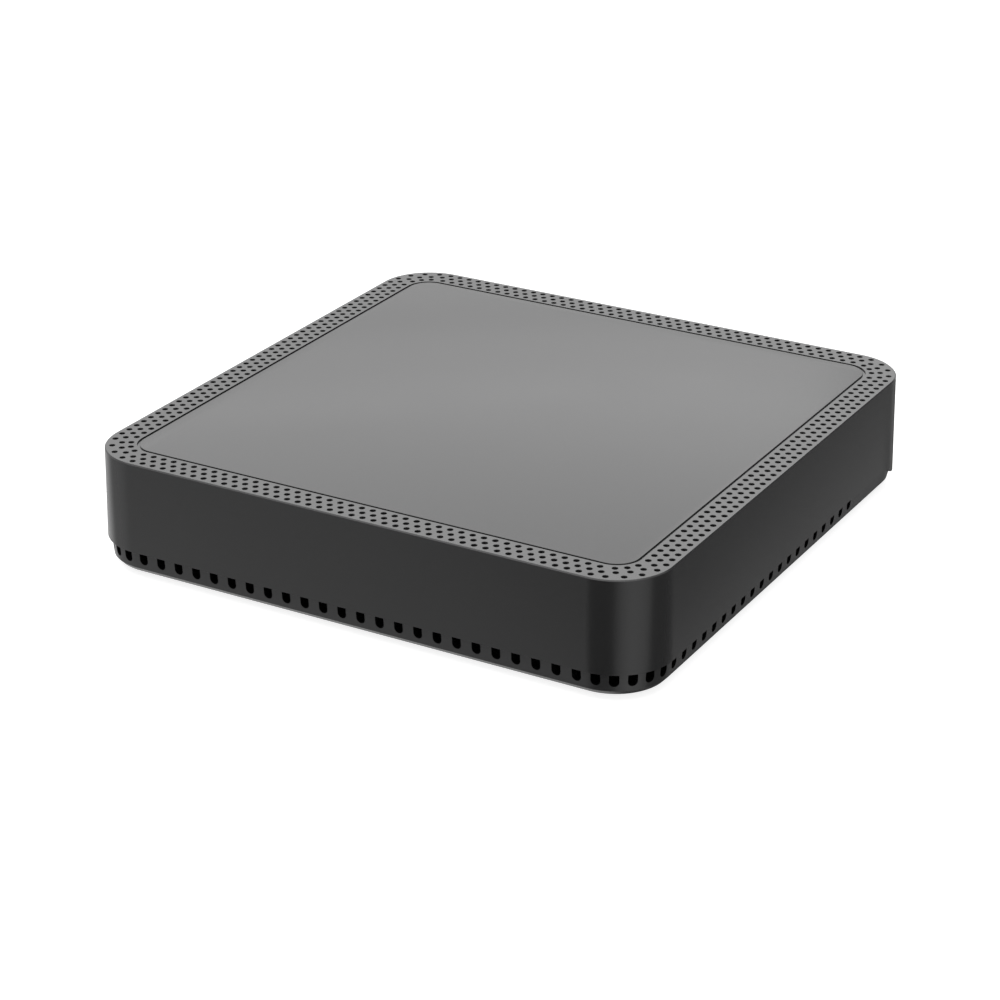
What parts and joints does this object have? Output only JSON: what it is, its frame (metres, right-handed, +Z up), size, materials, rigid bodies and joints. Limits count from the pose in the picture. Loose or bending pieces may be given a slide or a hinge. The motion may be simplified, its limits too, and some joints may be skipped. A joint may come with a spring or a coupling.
{
  "type": "mesh wifi node",
  "caption": "Low square mesh wifi node with rounded corners, perforated top border, flush top plate, vented base and a rear bay with sockets and buttons.",
  "frame": {"origin": "centre of the square footprint, on the surface that the rubber feet rest on", "axes": "+X to the right and +Y to the rear, where the sockets and buttons are; +Z up through the top plate"},
  "size_m": [0.1246, 0.1247, 0.0248],
  "materials": {
    "cover_plastic": "fine satin moulding, charcoal",
    "plate_plastic": "fine satin moulding, charcoal",
    "base_plastic": "fine satin moulding, charcoal",
    "panel_plastic": "fine spark-eroded moulding, near black",
    "button_plastic": "satin",
    "foot_rubber": "matt",
    "screw_steel": "black zinc",
    "board_laminate": "solder mask, satin",
    "sink_aluminium": "plain",
    "spreader_aluminium": "plain",
    "pin_plastic": "satin",
    "chip_black": "moulded package",
    "pad_silicone": "soft, matt",
    "can_steel": "tinned",
    "crystal_steel": "plated",
    "coil_ferrite": "matt ferrite",
    "capacitor_aluminium": "plain can",
    "aerial_laminate": "solder mask, satin",
    "lead_jacket": "thin coaxial jacket",
    "gilt_brass": "gold-plated",
    "socket_plastic": "satin",
    "shield_steel": "nickel-plated",
    "transformer_black": "moulded package",
    "lamp_white": "clear-fronted lamp",
    "clear_acrylic": "clear, polished"
  },
  "bodies": {
    "housing": {"top_cover": "cover_plastic", "top_plate": "plate_plastic", "base_tray": "base_plastic", "rubber_feet": "foot_rubber", "cover_screws": "screw_steel", "board_screws": "screw_steel", "main_board": "board_laminate", "heat_spreader": "spreader_aluminium", "board_pads": "pad_silicone", "heat_sink": "sink_aluminium", "heat_sink_pins": "pin_plastic", "processor": "chip_black", "processor_pad": "pad_silicone", "memory_chips": "chip_black", "flash_chip": "chip_black", "clock_crystal": "crystal_steel", "radio_chip_left": "chip_black", "radio_can_left": "can_steel", "radio_pads_left": "pad_silicone", "radio_chip_right": "chip_black", "radio_can_right": "can_steel", "radio_pads_right": "pad_silicone", "power_coils": "coil_ferrite", "capacitors": "capacitor_aluminium", "aerial_left": "aerial_laminate", "aerial_right": "aerial_laminate", "aerial_front_left": "aerial_laminate", "aerial_front_right": "aerial_laminate", "aerial_leads": "lead_jacket", "lead_plugs": "gilt_brass", "lan_shield_1": "shield_steel", "lan_socket_1": "socket_plastic", "lan_contacts_1": "gilt_brass", "link_lights_1": "clear_acrylic", "lan_shield_2": "shield_steel", "lan_socket_2": "socket_plastic", "lan_contacts_2": "gilt_brass", "link_lights_2": "clear_acrylic", "power_inlet": "socket_plastic", "inlet_pin": "gilt_brass", "lan_transformers": "transformer_black", "port_panel": "panel_plastic", "pair_switch": "chip_black", "reset_switch": "chip_black", "status_lamp": "lamp_white", "light_pipe": "clear_acrylic"},
    "pair_button": {"pair_button": "button_plastic", "pair_plunger": "pin_plastic"},
    "reset_button": {"reset_button": "button_plastic", "reset_plunger": "pin_plastic"}
  },
  "joints": [
    {"name": "pair_press", "type": "slide", "parent": "housing", "child": "pair_button", "axis": [0, -1, 0], "range_m": [0, 0.0005], "stiffness_N_per_m": 4000},
    {"name": "reset_press", "type": "slide", "parent": "housing", "child": "reset_button", "axis": [0, -1, 0], "range_m": [0, 0.0004], "stiffness_N_per_m": 4000}
  ]
}
